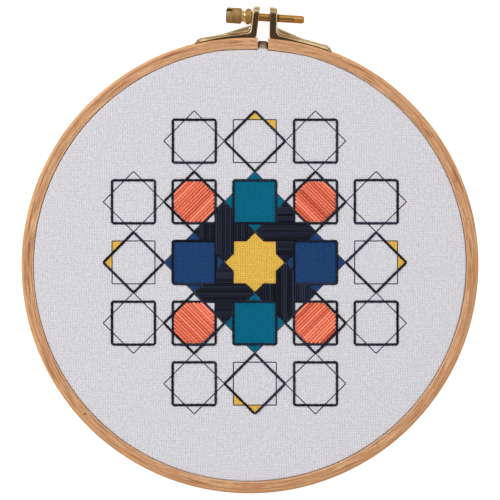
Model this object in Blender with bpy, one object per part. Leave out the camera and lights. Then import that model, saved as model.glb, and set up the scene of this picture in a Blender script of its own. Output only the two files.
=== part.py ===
"""Embroidery hoop with a stretched, stitched cloth, lying on its back with its face up.

Sizes are named in millimetres and turned to metres where a mesh is made. +Z is up and the
clamping hardware is at +Y. The origin is the middle of the bounding box, on the surface that
the hoop lies on. Below, "hoop frame" means the same axes with their origin at the centre of
the rings.
"""

from math import asin, cos, pi, radians, sin, sqrt

import bmesh
import bpy
import numpy as np
from mathutils import Vector

MM = 0.001
CLEARANCE = 0.3

# Rings. The outer ring's bore is the hoop's nominal size.
BORE_R = 100.0
OUTER_RING_WIDTH = 5.5
OUTER_RING_DEPTH = 9.5
RING_R = BORE_R + OUTER_RING_WIDTH
SPLIT_HALF_WIDTH = 2.3
RING_SECTIONS = 80

# Cloth: a round sheet over the inner ring, turned down between the rings.
CLOTH_THICKNESS = 1.0
CLOTH_TOP = 9.2
CLOTH_BEND_R = 1.3
CLOTH_R = BORE_R - CLEARANCE
CLOTH_HEM_Z = 0.8
BULGE = 2.3
BULGE_AT_HEM = 1.5
BULGE_HALF_WIDTH = 2.0

INNER_RING_R = CLOTH_R - CLOTH_THICKNESS - CLEARANCE
INNER_RING_WIDTH = 4.4
INNER_RING_DEPTH = CLOTH_TOP - CLOTH_THICKNESS - CLEARANCE

# Hardware. Heights are radii from the centre of the rings.
EAR_IN, EAR_OUT = 2.55, 5.8
EAR_TOP = 119.5
EAR_EDGE = 0.6
BRACKET_LOW_Z, BRACKET_HIGH_Z = 0.4, 9.1
BRACKET_MID_Z = (BRACKET_LOW_Z + BRACKET_HIGH_Z) / 2
FOOT_R = RING_R + CLEARANCE
FOOT_THICKNESS = 1.5
FOOT_END_X = 32.0
FOOT_INSET = 0.2
BEAD_LENGTH, BEAD_RISE = 2.6, 0.55
WEB_TOP = 110.2
WEB_FOOT_X = 16.7
WEB_BASE_HALF, WEB_RIDGE_HALF = 2.0, 0.9
SCREW_HEIGHT = 114.75
SHANK_R = 1.75
HOLE_R = SHANK_R + CLEARANCE

# Stitching. The pattern is a square lattice of eight-pointed stars with crosses between them.
PITCH = 28.0
TIP_R = PITCH / 2
SIDE = TIP_R / sqrt(2)
NOTCH = TIP_R - SIDE
DESIGN_TURN = radians(3.53)
DESIGN_SHIFT = (2.2, 1.3)
STITCH_Z = CLOTH_TOP + CLEARANCE
THREAD_WIDTH = 1.1
THREAD_HEIGHT = 0.55
PATCH_INSET = THREAD_WIDTH / 2 + CLEARANCE
SATIN_PITCH = 1.0
SATIN_LOW, SATIN_HIGH = 0.35, 0.6

# The box runs from the far side of the rings to the top of the ears.
HOOP_Y = -(EAR_TOP - RING_R) / 2


def srgb(code):
    """Linear colour of a hex code."""
    parts = [int(code[i : i + 2], 16) / 255 for i in (0, 2, 4)]
    return [p / 12.92 if p <= 0.04045 else ((p + 0.055) / 1.055) ** 2.4 for p in parts] + [1.0]


def material(name, code, roughness, metallic=0.0):
    made = bpy.data.materials.new(name)
    made.use_nodes = True
    shader = made.node_tree.nodes["Principled BSDF"]
    shader.inputs["Base Color"].default_value = srgb(code)
    shader.inputs["Roughness"].default_value = roughness
    shader.inputs["Metallic"].default_value = metallic
    made.diffuse_color = srgb(code)
    return made


def empty(name, parent=None, location=(0, 0, 0), turn=0.0):
    made = bpy.data.objects.new(name, None)
    bpy.context.scene.collection.objects.link(made)
    made.parent = parent
    made.location = Vector(location) * MM
    made.rotation_euler.z = turn
    return made


def mesh_object(name, points, faces, finish, parent, location=(0, 0, 0), turn=0.0):
    """An object from points in millimetres. With faces None it is their convex hull."""
    shape = bmesh.new()
    corners = [shape.verts.new(Vector(point) * MM) for point in points]
    if faces is None:
        bmesh.ops.convex_hull(shape, input=shape.verts)
    else:
        for face in faces:
            shape.faces.new([corners[i] for i in face])
    bmesh.ops.recalc_face_normals(shape, faces=shape.faces)
    mesh = bpy.data.meshes.new(name)
    shape.to_mesh(mesh)
    shape.free()
    mesh.materials.append(finish)
    mesh.shade_smooth()
    mesh.set_sharp_from_angle(angle=radians(40))
    made = bpy.data.objects.new(name, mesh)
    bpy.context.scene.collection.objects.link(made)
    made.parent = parent
    made.location = Vector(location) * MM
    made.rotation_euler.z = turn
    return made


def loft(loops, closed=False):
    """Points and faces of a skin over equal loops. It is capped, or runs back to its start."""
    loops = np.asarray(loops, float)
    count, size = loops.shape[:2]
    faces = []
    for i in range(count if closed else count - 1):
        here, there = i * size, (i + 1) % count * size
        for j in range(size):
            k = (j + 1) % size
            faces.append((here + j, here + k, there + k, there + j))
    if not closed:
        faces.append(tuple(range(size)))
        faces.append(tuple(range((count - 1) * size, count * size)))
    return loops.reshape(-1, 3), faces


def combine(target, helper, operation):
    """A live Boolean with a helper object that isn't a piece of its own."""
    helper.hide_render = True
    helper.display_type = "WIRE"
    step = target.modifiers.new(helper.name, "BOOLEAN")
    step.operation = operation
    step.object = helper


def corner_arc(centre_r, centre_z, radius, first, steps):
    """A quarter circle in the (r, z) plane, from the angle first, in degrees."""
    angles = [radians(first + 90 * i / steps) for i in range(steps + 1)]
    return [(centre_r + radius * cos(a), centre_z + radius * sin(a)) for a in angles]


def ring_profile(r_in, r_out, depth, outer_front, inner_front, back):
    """A ring's section, counter-clockwise from its outer back corner, with rounded edges."""
    return (
        corner_arc(r_out - back, back, back, -90, 1)
        + corner_arc(r_out - outer_front, depth - outer_front, outer_front, 0, 3)
        + corner_arc(r_in + inner_front, depth - inner_front, inner_front, 90, 1)
        + corner_arc(r_in + back, back, back, 180, 1)
    )


def around(angle, profile):
    """A section stood up at an angle round the hoop."""
    return [(r * cos(angle), r * sin(angle), z) for r, z in profile]


def ring_angles(split=0.0):
    """Angles round a ring from just past the top, which is left out within split of it."""
    step = 2 * pi / RING_SECTIONS
    inside = [pi / 2 + i * step for i in range(RING_SECTIONS)]
    if not split:
        return inside
    kept = [a for a in inside if pi / 2 + split < a < 5 * pi / 2 - split]
    return [pi / 2 + split] + kept + [5 * pi / 2 - split]


def build_outer_ring(hoop, finish):
    profile = ring_profile(BORE_R, RING_R, OUTER_RING_DEPTH, 1.4, 0.5, 0.7)
    split = asin(SPLIT_HALF_WIDTH / BORE_R)
    sections = [around(a, profile) for a in ring_angles(split)]
    mesh_object("outer_ring", *loft(sections), finish, hoop)


def build_inner_ring(hoop, finish):
    profile = ring_profile(
        INNER_RING_R - INNER_RING_WIDTH, INNER_RING_R, INNER_RING_DEPTH, 0.5, 0.8, 0.6
    )
    sections = [around(a, profile) for a in ring_angles()]
    mesh_object("inner_ring", *loft(sections, closed=True), finish, hoop)


def build_cloth(hoop, finish):
    """Rings of points run out over the top, down the skirt and back up inside it.

    In the split of the outer ring the skirt bulges out in a round arch, further at its hem.
    """
    bend_z = CLOTH_TOP - CLOTH_BEND_R
    bend_r = CLOTH_R - CLOTH_BEND_R
    inner_r = CLOTH_R - CLOTH_THICKNESS
    diagonal = CLOTH_BEND_R / sqrt(2)
    rows = [  # radius, height, share of the bulge
        (bend_r, CLOTH_TOP, 0.0),
        (bend_r + diagonal, bend_z + diagonal, 0.6),
        (CLOTH_R, bend_z, 1.0),
        (CLOTH_R, CLOTH_HEM_Z, BULGE_AT_HEM),
        (inner_r, CLOTH_HEM_Z, BULGE_AT_HEM),
        (inner_r, bend_z, 1.0),
        (bend_r, CLOTH_TOP - CLOTH_THICKNESS, 0.0),
    ]
    reach = asin(BULGE_HALF_WIDTH / CLOTH_R)
    in_split = [pi / 2 + reach * i / 3 for i in range(-2, 3)]
    angles = ring_angles(reach) + [a + 2 * pi for a in in_split]
    loops = []
    for radius, height, share in rows:
        loop = []
        for angle in angles:
            off_top = abs((angle - pi / 2 + pi) % (2 * pi) - pi)
            wave = sqrt(max(0.0, cos(pi / 2 * min(1.0, off_top / reach))))
            r = radius + BULGE * share * wave
            loop.append((r * cos(angle), r * sin(angle), height))
        loops.append(loop)
    mesh_object("cloth", *loft(loops), finish, hoop)


def ear_loop(x, inset):
    """The ear's outline in the YZ plane at x: a foot, straight sides and a round top."""
    radius = (BRACKET_HIGH_Z - BRACKET_LOW_Z) / 2 - inset
    centre = EAR_TOP - radius - inset
    arc = [pi * i / 8 for i in range(9)]
    top = [(x, centre + radius * sin(a), BRACKET_MID_Z + radius * cos(a)) for a in arc]
    return [(x, FOOT_R, BRACKET_MID_Z + radius)] + top + [(x, FOOT_R, BRACKET_MID_Z - radius)]


def foot_section(x, thickness, lift=0.0):
    """The foot's section where it crosses x, at right angles to the ring."""
    angle = pi / 2 - asin(x / FOOT_R)
    low, high = BRACKET_LOW_Z + FOOT_INSET, BRACKET_HIGH_Z - FOOT_INSET
    r_in, r_out = FOOT_R + lift, FOOT_R + thickness
    return around(angle, [(r_in, low), (r_out, low), (r_out, high), (r_in, high)])


def foot_top(x):
    """The height of the foot's upper side where it crosses x."""
    return sqrt((FOOT_R + FOOT_THICKNESS) ** 2 - x**2)


def build_bracket(hoop, finish, name, side):
    """An upright ear, a foot that follows the ring to a rounded end, and a web between them.

    It is drawn on the +X side and mirrored by side.
    """

    def sided(points):
        return np.asarray(points, float) * (side, 1, 1)

    ear_loops = [ear_loop(EAR_IN, 0), ear_loop(EAR_OUT - EAR_EDGE, 0), ear_loop(EAR_OUT, EAR_EDGE)]
    ear = mesh_object(name, *loft(sided(ear_loops)), finish, hoop)

    middle = (EAR_IN + EAR_OUT) / 2
    bead_x = FOOT_END_X - BEAD_LENGTH
    plain = [foot_section(middle + (bead_x - middle) * i / 6, FOOT_THICKNESS) for i in range(7)]
    bead = [
        foot_section(bead_x + BEAD_LENGTH * 0.35, FOOT_THICKNESS + BEAD_RISE),
        foot_section(bead_x + BEAD_LENGTH * 0.75, FOOT_THICKNESS + BEAD_RISE * 0.7),
        foot_section(FOOT_END_X, FOOT_THICKNESS - BEAD_RISE, lift=BEAD_RISE / 2),
    ]
    foot = mesh_object(name + "_foot", *loft(sided(plain + bead)), finish, hoop)
    combine(ear, foot, "UNION")

    inside_ear = middle + 0.5
    base_x = WEB_FOOT_X - 2 * WEB_BASE_HALF
    web_points = [
        (x, y, BRACKET_MID_Z + half * z_side)
        for x, y, half in (
            (inside_ear, foot_top(inside_ear) - 0.8, WEB_BASE_HALF),
            (inside_ear, WEB_TOP, WEB_RIDGE_HALF),
            (EAR_OUT, WEB_TOP - 0.2, WEB_RIDGE_HALF),
            (WEB_FOOT_X, foot_top(WEB_FOOT_X) - 0.1, WEB_RIDGE_HALF),
            (base_x, foot_top(base_x) - 0.8, WEB_BASE_HALF),
        )
        for z_side in (-1, 1)
    ]
    web = mesh_object(name + "_web", sided(web_points), None, finish, hoop)
    combine(ear, web, "UNION")

    ends = [EAR_IN - 1, EAR_OUT + 1]
    hole_loops = [circle(x, HOLE_R, 16, SCREW_HEIGHT, BRACKET_MID_Z) for x in ends]
    hole = mesh_object(name + "_hole", *loft(sided(hole_loops)), finish, hoop)
    combine(ear, hole, "DIFFERENCE")


def circle(x, radius, count, y=0.0, z=0.0):
    """A circle of points in the YZ plane."""
    angles = [2 * pi * i / count for i in range(count)]
    return [(x, y + radius * cos(a), z + radius * sin(a)) for a in angles]


def build_screw(hoop, finish):
    """A turned screw with a slotted barrel head, its origin on its axis."""
    profile = [  # place along the axis from the middle of the split, radius
        (-18.15, 3.25),
        (-17.8, 3.6),
        (-11.4, 3.6),
        (-11.1, 3.35),
        (-10.5, 2.75),
        (-9.8, 2.6),
        (-9.1, 2.8),
        (-8.6, 3.5),
        (-8.3, 3.7),
        (-7.2, 3.7),
        (-6.45, 3.2),
        (-EAR_OUT - CLEARANCE, 2.9),
        (-EAR_OUT - CLEARANCE + 0.05, SHANK_R),
        (17.1, SHANK_R),
        (17.8, 1.4),
        (18.2, 0.8),
    ]
    at = (0, SCREW_HEIGHT, BRACKET_MID_Z)
    loops = [circle(x, r, 20) for x, r in profile]
    screw = mesh_object("screw", *loft(loops), finish, hoop, at)
    slot_depth, slot_width, slot_length = 2.4, 0.9, 10.0
    corners = [
        (x, slot_width / 2 * a, slot_length / 2 * b)
        for x in (profile[0][0] - 1, profile[0][0] + slot_depth)
        for a in (-1, 1)
        for b in (-1, 1)
    ]
    slot = mesh_object("screw_slot", corners, None, finish, hoop, at)
    slot.rotation_euler.x = radians(-38)
    combine(screw, slot, "DIFFERENCE")


def satin_patch(name, half_length, reach, breaks, finish, design, location, turn):
    """Stitches laid side by side along X, each a low ridge from -half_length to half_length.

    Sections stand half a stitch apart, and also at the breaks, where the outline steps.
    """
    count = round(2 * reach / SATIN_PITCH)
    step = reach / count
    regular = [-reach + step * i for i in range(2 * count + 1)]
    places = sorted([s for s in regular if all(abs(s - b) > 0.12 for b in breaks)] + breaks)
    sections = []
    for s in places:
        h = half_length(s)
        ridge = 1 - abs(1 - (s + reach) / step % 2)
        top = SATIN_LOW + (SATIN_HIGH - SATIN_LOW) * ridge
        sections.append([(s, -h, 0), (s, h, 0), (s, h, top), (s, -h, top)])
    mesh_object(name, *loft(sections), finish, design, location, turn)


def cross_half_length(s):
    """Half of a pointed cross's height at s, inset from its outline."""
    arm = NOTCH - PATCH_INSET
    tip = TIP_R - PATCH_INSET * sqrt(2)
    in_bar = arm + 0.02 < abs(s) < tip - arm
    return arm if in_bar else tip - abs(s)


def octagon_half_length(s):
    """Half of the height at s of the octagon within a star, inset from its outline."""
    side = SIDE - PATCH_INSET
    return min(side, side * sqrt(2) - abs(s))


def build_satin(design, navy, coral):
    arm = NOTCH - PATCH_INSET
    tip = TIP_R - PATCH_INSET * sqrt(2)
    steps = [-arm - 0.05, -arm, arm, arm + 0.05]
    quadrants = [(1, 1), (-1, 1), (-1, -1), (1, -1)]
    for number, (i, j) in enumerate(quadrants, 1):
        across = pi / 2 * (number % 2)
        centre = (i * PITCH / 2, j * PITCH / 2, STITCH_Z)
        satin_patch(
            f"satin_navy_{number}", cross_half_length, tip - 0.4, steps, navy, design, centre, across
        )
        centre = (i * PITCH, j * PITCH, STITCH_Z)
        satin_patch(
            f"satin_coral_{number}",
            octagon_half_length,
            SIDE - PATCH_INSET,
            [],
            coral,
            design,
            centre,
            i * j * pi / 4,
        )


def thread_frame(name, finish, design, location, turn, lift=0.0):
    """Four straight threads laid round a square and fused at its corners."""
    flat = THREAD_WIDTH / 4
    profile = [
        (-THREAD_WIDTH / 2, lift / 2),
        (THREAD_WIDTH / 2, lift / 2),
        (flat, THREAD_HEIGHT + lift),
        (-flat, THREAD_HEIGHT + lift),
    ]
    corners = [pi / 4 + pi / 2 * i for i in range(4)]
    sections = [around(a, [((SIDE + x) * sqrt(2), z) for x, z in profile]) for a in corners]
    return mesh_object(name, *loft(sections, closed=True), finish, design, location, turn)


def build_threads(design, navy):
    """Stars on the diagonals get both of their squares, and the others one of the two."""
    counts = {"star": 0, "square": 0, "diamond": 0}
    for i in range(-2, 3):
        for j in range(-2, 3):
            steps = sorted((abs(i), abs(j)))
            if steps in ([0, 0], [2, 2]):
                continue
            kind = {(1, 1): "star", (0, 2): "diamond"}.get(tuple(steps), "square")
            counts[kind] += 1
            name = f"thread_{kind}_{counts[kind]}"
            place = (i * PITCH, j * PITCH, STITCH_Z)
            turn = pi / 4 if kind == "diamond" else 0.0
            frame = thread_frame(name, navy, design, place, turn)
            if kind == "star":
                over = thread_frame(name + "_over", navy, design, place, pi / 4, lift=0.1)
                combine(frame, over, "UNION")


def main():
    for old in list(bpy.data.objects):
        bpy.data.objects.remove(old, do_unlink=True)
    beech = material("beech", "c3916b", 0.45)
    pale_beech = material("pale_beech", "c89a72", 0.5)
    cotton = material("evenweave_cotton", "d5d4d9", 0.9)
    brass = material("brass", "a5834f", 0.3, metallic=1.0)
    navy = material("navy_floss", "1e212d", 0.6)
    coral = material("coral_floss", "e0755b", 0.6)

    hoop = empty("hoop_centre", location=(0, HOOP_Y, 0))
    design = empty("design_centre", hoop, (*DESIGN_SHIFT, 0), DESIGN_TURN)
    build_outer_ring(hoop, beech)
    build_inner_ring(hoop, pale_beech)
    build_cloth(hoop, cotton)
    build_bracket(hoop, brass, "bracket_left", -1)
    build_bracket(hoop, brass, "bracket_right", 1)
    build_screw(hoop, brass)
    build_satin(design, navy, coral)
    build_threads(design, navy)


main()
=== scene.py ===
# %% [markdown]
# # A stitched cloth in an embroidery hoop
#
# The object is a round cloth held taut between two beech rings, with a pattern of stars and
# crosses in floss on it. A brass screw through two brackets pulls the split outer ring tight.
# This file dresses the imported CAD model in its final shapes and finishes. Every size is in
# millimetres until a mesh is made, and is measured from the centre of the rings.

# %% The fixed frame
from functools import partial
from math import asin, cos, pi, radians, sin, sqrt

import bpy
import numpy as np
from mathutils import Matrix, Vector


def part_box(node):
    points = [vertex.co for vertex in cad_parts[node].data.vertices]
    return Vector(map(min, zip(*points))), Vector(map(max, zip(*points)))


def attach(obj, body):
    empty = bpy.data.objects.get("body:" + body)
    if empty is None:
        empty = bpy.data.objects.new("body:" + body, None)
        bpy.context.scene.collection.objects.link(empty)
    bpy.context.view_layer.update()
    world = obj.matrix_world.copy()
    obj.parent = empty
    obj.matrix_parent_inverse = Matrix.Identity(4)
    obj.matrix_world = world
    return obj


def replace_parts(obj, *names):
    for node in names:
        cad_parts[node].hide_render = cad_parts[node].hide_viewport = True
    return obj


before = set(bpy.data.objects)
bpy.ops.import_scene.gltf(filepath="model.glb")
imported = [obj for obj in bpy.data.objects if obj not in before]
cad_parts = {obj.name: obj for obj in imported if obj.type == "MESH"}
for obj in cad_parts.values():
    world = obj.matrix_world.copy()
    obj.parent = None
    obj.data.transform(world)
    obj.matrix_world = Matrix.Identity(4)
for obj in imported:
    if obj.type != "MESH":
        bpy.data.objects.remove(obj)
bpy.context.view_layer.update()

MM = 0.001
HOOP_Y = -7.0
BORE_R = 100.0
RING_R = 105.5
RING_DEPTH = 9.5
CLOTH_TOP = 9.2
CLOTH_R = 99.95
BRACKET_MID_Z = 4.75

low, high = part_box("outer_ring")
print("outer ring, mm across:", round((high.x - low.x) / MM, 2))

# %% [markdown]
# ## Colours
#
# Paint charts and pictures give colours as sRGB codes, which are stretched for the eye. A
# renderer adds up light, so it needs the linear amounts. One function turns the one into the
# other, and every colour below goes through it on its way into a node or a lamp.


# %% From an sRGB code to linear light
def linear(code):
    """Each channel c of the code becomes ((c + 0.055) / 1.055) to the power 2.4, or c / 12.92
    when it is very dark."""
    channels = [int(code[i : i + 2], 16) / 255 for i in (0, 2, 4)]
    light = [c / 12.92 if c <= 0.04045 else ((c + 0.055) / 1.055) ** 2.4 for c in channels]
    return (*light, 1.0)


# %% [markdown]
# ## Shader nodes
#
# A finish is a small graph of nodes that ends in a Principled shader. Adding a node always
# takes the same steps: make it, set its options, fill its inputs. One function does that for
# every kind of node and hands back one of its outputs, so that a graph reads like a formula.
# Each graph gets its own short form of that function, add, which already knows the graph. The
# kinds that come back all the time have names. A kind's second word is the choice in the node's
# menu, and only the sockets that this choice leaves in use are counted.


# %% One way to add a node
SMOOTH = "MapRange SMOOTHSTEP"  # value, from, to, number at from, number at to
BLEND = "Mix RGBA"  # share of the second colour, first colour, second colour
TIMES, PLUS, MINUS = "Math MULTIPLY", "Math ADD", "Math SUBTRACT"
TIMES_PLUS = "Math MULTIPLY_ADD"
MENUS = {"MapRange": "interpolation_type", "Mix": "data_type"}  # operation for all others


def fill(node, inputs):
    """Inputs come in order, or by number or name, each as a value, as a colour's code or as
    another node's output."""
    in_use = [socket for socket in node.inputs if socket.enabled]
    for key, value in inputs.items() if isinstance(inputs, dict) else enumerate(inputs):
        socket = node.inputs[key] if isinstance(key, str) else in_use[key]
        if isinstance(value, bpy.types.NodeSocket):
            node.id_data.links.new(value, socket)
        else:
            socket.default_value = linear(value) if isinstance(value, str) else value


def add_node(tree, kind, inputs=(), out=0, **options):
    """The options are settings other than the one that the kind's second word chooses."""
    kind, *choice = kind.split()
    node = tree.nodes.new("ShaderNode" + kind)
    if choice:
        setattr(node, MENUS.get(kind, "operation"), choice[0])
    for option, value in options.items():
        setattr(node, option, value)
    fill(node, inputs)
    return [socket for socket in node.outputs if socket.enabled][out]


def start_finish(name, constants):
    """A material of that name, its shader with those constants, and add for its graph."""
    finish = bpy.data.materials.new(name)
    finish.use_nodes = True
    shader = finish.node_tree.nodes["Principled BSDF"]
    fill(shader, constants)
    return finish, shader, partial(add_node, finish.node_tree)


# %% [markdown]
# ## Camera
#
# The hoop lies on its back, so the camera looks straight down at it from far away through a
# long lens, which keeps the circle round. The hoop is turned a little in the picture: its
# screw leans to the right. That turn is the camera's roll, because the hoop itself stays put.

# %% The camera above the hoop
PICTURE_PIXELS = 500
MM_PER_PIXEL = 0.46198
HOOP_PIXEL = (249.87, 264.87)
ROLL = radians(3.53)
CAMERA_HEIGHT = 1600.0
SENSOR = 36.0

right = Vector((cos(ROLL), sin(ROLL), 0))
up = Vector((-sin(ROLL), cos(ROLL), 0))
aim = Vector((0, HOOP_Y, RING_DEPTH - 1.4))
aim += right * (PICTURE_PIXELS / 2 - HOOP_PIXEL[0]) * MM_PER_PIXEL
aim += up * (HOOP_PIXEL[1] - PICTURE_PIXELS / 2) * MM_PER_PIXEL

camera_data = bpy.data.cameras.new("camera")
camera_data.sensor_width = SENSOR
camera_data.lens = SENSOR * CAMERA_HEIGHT / (PICTURE_PIXELS * MM_PER_PIXEL)
camera = bpy.data.objects.new("camera", camera_data)
bpy.context.scene.collection.objects.link(camera)
bpy.context.scene.camera = camera
camera.matrix_world = Matrix.Translation((aim + Vector((0, 0, CAMERA_HEIGHT))) * MM) @ (
    Matrix((right, up, (0, 0, 1))).transposed().to_4x4()
)
print("lens, mm:", round(camera_data.lens, 1))

# %% [markdown]
# ## Light and floor
#
# A product studio gives soft light from large sources and a white table. The main softbox hangs
# to the upper left of the picture, near enough that the top of the hoop gets a little more
# light than its foot. A larger and weaker one fills in from the lower right.
#
# Brass shows the room more than its own colour. So the room matters: it is bright on the side of
# the hoop's top and dark overhead, where the camera hangs, and towards the foot, with a clear
# border between the two. The lamps and the white table would glare in the brass, so they are
# hidden from glossy rays alone, and the room has a gentler glow where the main softbox is.


# %% The softboxes
def add_softbox(name, across, upwards, height, distance, size, power, colour):
    """A square lamp that faces the hoop from the direction given in the picture's axes."""
    lamp = bpy.data.lights.new(name, "AREA")
    lamp.size = size * MM
    lamp.energy = power
    lamp.color = linear(colour)[:3]
    holder = bpy.data.objects.new(name, lamp)
    towards = (right * across + up * upwards + Vector((0, 0, height))).normalized()
    holder.location = (aim + towards * distance) * MM
    holder.rotation_euler = towards.to_track_quat("Z", "Y").to_euler()
    holder.visible_glossy = False
    bpy.context.scene.collection.objects.link(holder)
    return towards


to_main = add_softbox("main_softbox", -0.62, 0.55, 0.85, 1700, 850, 12.5, "fffdf8")
add_softbox("fill_softbox", 0.7, -0.5, 0.8, 2200, 2000, 5.5, "f7f9ff")

# %% The room, by how high each ray goes and how far towards the hoop's top
world = bpy.data.worlds.new("studio")
world.use_nodes = True
bpy.context.scene.world = world
add = partial(add_node, world.node_tree)
direction = add("TexCoord")
height = add("SeparateXYZ", (direction,), out=2)
upwards = add("VectorMath DOT_PRODUCT", (direction, tuple(up)))
overhead = add(SMOOTH, (height, 0.45, 0.9, 0.0, 0.7))
off_top = add(SMOOTH, (upwards, 0.6, 0.36, 0.0, 1.0))
shaded = add(TIMES, (overhead, off_top))
open_sky = add(MINUS, (1.0, shaded))
off_band = add(MINUS, (height, 0.05))
off_band = add("Math ABSOLUTE", (off_band,))
band = add(SMOOTH, (off_band, 0.22, 0.1, 0.0, 0.8))
behind_top = add(SMOOTH, (upwards, 0.3, 0.7, 0.0, 1.0))
dark_wall = add(TIMES, (band, behind_top))
lit_wall = add(MINUS, (1.0, dark_wall))
below = add("Math MINIMUM", (height, 0.0))
footwards = add(TIMES_PLUS, (below, 0.4, upwards))
foot_side = add(SMOOTH, (footwards, -0.1, -0.6, 1.0, 0.72))
near_lamp = add("VectorMath DOT_PRODUCT", (direction, tuple(to_main)))
glow = add(SMOOTH, (near_lamp, 0.9, 0.98, 0.0, 2.2))
sky_light = add(TIMES, (open_sky, lit_wall))
sky_light = add(TIMES_PLUS, (sky_light, foot_side, glow))
wall = add(BLEND, (foot_side, "f2c8b0", "f6f7fa"))
fill(world.node_tree.nodes["Background"], {"Color": wall, "Strength": sky_light})
bpy.context.scene.view_settings.view_transform = "Standard"

# %% The white table
FLOOR_HALF = 4000.0
FLOOR_Z = -0.05
table_white = {"Base Color": "c0c0c0", "Roughness": 0.9}
table_white |= {"Emission Color": "ffffff", "Emission Strength": 0.85}
corners = np.array([(-1, -1), (1, -1), (1, 1), (-1, 1)]) * FLOOR_HALF
floor_mesh = bpy.data.meshes.new("floor")
floor_mesh.from_pydata([(x * MM, y * MM, FLOOR_Z * MM) for x, y in corners], [], [(0, 1, 2, 3)])
floor_mesh.materials.append(start_finish("white_table", table_white)[0])
floor = bpy.data.objects.new("floor", floor_mesh)
floor.visible_glossy = False
floor.visible_diffuse = False
bpy.context.scene.collection.objects.link(floor)

# %% [markdown]
# ## From a grid of points to a piece
#
# Most pieces are one surface worked out on a grid: numpy computes every point at once from two
# numbers, such as how far round and how far across. The faces join neighbouring points. A tube
# joins its last column to its first, and flat caps close its ends.


# %% Faces of a grid
def ramp(x):
    """x itself, but never less than 0 or more than 1."""
    return np.clip(x, 0, 1)


def grid_faces(rows, columns, closed_rows=False, closed_columns=False):
    """Corner numbers of every face between neighbouring points, row by row."""
    i = np.arange(rows if closed_rows else rows - 1)[:, None]
    j = np.arange(columns if closed_columns else columns - 1)[None, :]
    next_i = (i + 1) % rows
    next_j = (j + 1) % columns
    around_face = [(i, j), (i, next_j), (next_i, next_j), (next_i, j)]
    return np.stack([a * columns + b for a, b in around_face], axis=-1).reshape(-1, 4)


def tube_faces(rows, columns, count=1, flip=1):
    """Sides and two flat caps of count tubes, which follow one another in the point list. A flip
    of -1 turns the faces round, for columns that run the other way."""
    sides = grid_faces(rows, columns, closed_columns=True)
    first = np.arange(columns)
    caps = np.stack([first[::-1], (rows - 1) * columns + first])
    starts = np.arange(count)[:, None, None] * rows * columns
    return [(faces + starts).reshape(-1, faces.shape[1])[:, ::flip] for faces in (sides, caps)]


# %% A mesh, dressed and riding on its body
def make_piece(name, points, face_sets, finish, slot, body="hoop", sharp=None, **attributes):
    """Points in mm from the hoop's centre. An attribute holds a number or three for each point."""
    points = np.asarray(points, float).reshape(-1, 3)
    corners = np.concatenate([faces.ravel() for faces in face_sets])
    sizes = np.concatenate([np.full(len(faces), faces.shape[1]) for faces in face_sets])
    mesh = bpy.data.meshes.new(name)
    mesh.vertices.add(len(points))
    mesh.vertices.foreach_set("co", ((points + (0, HOOP_Y, 0)) * MM).ravel())
    mesh.loops.add(len(corners))
    mesh.loops.foreach_set("vertex_index", corners.astype(np.int32))
    mesh.polygons.add(len(sizes))
    mesh.polygons.foreach_set("loop_start", (np.cumsum(sizes) - sizes).astype(np.int32))
    mesh.update(calc_edges=True)
    mesh.validate()
    for key, values in attributes.items():
        values = np.asarray(values, np.float32)
        one = values.size == len(points)
        layer = mesh.attributes.new(key, "FLOAT" if one else "FLOAT_VECTOR", "POINT")
        layer.data.foreach_set("value" if one else "vector", values.ravel())
    mesh.shade_smooth()
    if sharp:
        mesh.set_sharp_from_angle(angle=radians(sharp))
    mesh.materials.append(finish)
    piece = bpy.data.objects.new(name, mesh)
    bpy.context.scene.collection.objects.link(piece)
    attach(piece, body)
    print(name, "triangles:", int((sizes - 2).sum()))
    return piece


# %% [markdown]
# ## Beech
#
# Both rings are strips of beech, steamed, bent and left with a thin satin varnish. The strip's
# length follows the ring, so its growth rings show as brown streaks that run almost parallel to
# the rim and cross it slowly. Beech also has short reddish flecks, 1 to 3 mm long. The pattern
# can't read plain coordinates, because the wood was bent after it grew: each point carries how
# far along the strip it is, how far across and how deep, all in millimetres.

# %% The grain of a bent strip
MEAN_R = (BORE_R + RING_R) / 2
RING_WAVE = 2 * pi / 1.9  # one growth ring shows every 1.9 mm across the strip
GRAIN_NOISES = [  # waves a mm along, across and deep, then detail and roughness
    ((0.07, 1.9, 1.9), 3.0, 0.65),  # fibres
    ((0.016, 0.22, 0.1), 2.0, 0.5),  # how far the growth rings drift
    ((0.4, 1.9, 1.4), 1.0, 0.5),  # flecks
    ((0.06, 0.35, 0.2), 2.0, 0.5),  # blotches
]


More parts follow.
